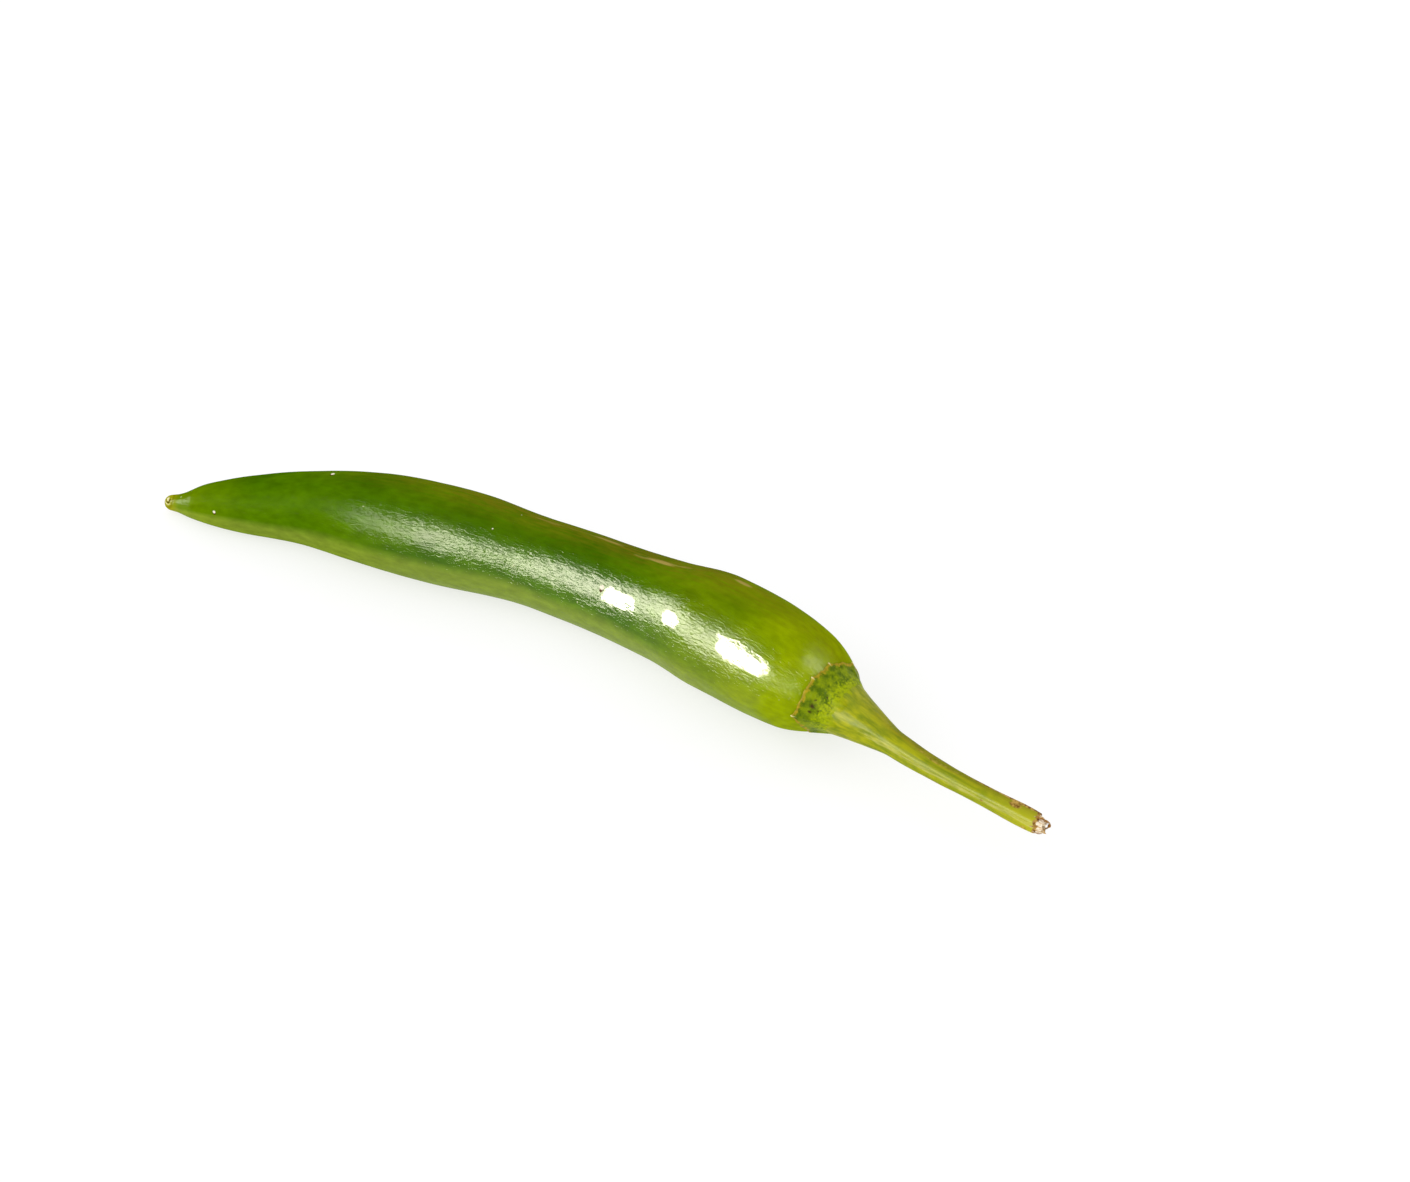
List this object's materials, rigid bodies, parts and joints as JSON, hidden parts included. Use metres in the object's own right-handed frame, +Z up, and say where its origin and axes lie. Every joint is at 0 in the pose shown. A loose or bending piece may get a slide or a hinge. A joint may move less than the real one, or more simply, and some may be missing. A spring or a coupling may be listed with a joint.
{
  "type": "chilli pepper",
  "caption": "Long green chilli pepper as picked: a glossy tapered pod bowed to one side, with its toothed calyx and cut stem, lying on its side",
  "frame": {"origin": "on the surface the pepper lies on, under the middle of its box", "axes": "+Z up, +X along the pepper from the blossom tip towards the cut end of the stem, +Y towards the side that the middle of the pod bows to"},
  "size_m": [0.1756, 0.025, 0.02],
  "materials": {
    "pod_skin": "smooth waxy chilli skin, glossy, deep green turning yellow-green towards the shoulder",
    "calyx_flesh": "thin leafy calyx, satin, dark mottled green with a dry brown edge",
    "stem_rind": "fibrous stem, satin, bright yellow-green with fine long streaks"
  },
  "bodies": {
    "root": {"pod": "pod_skin", "calyx": "calyx_flesh", "stem": "stem_rind"}
  },
  "joints": []
}
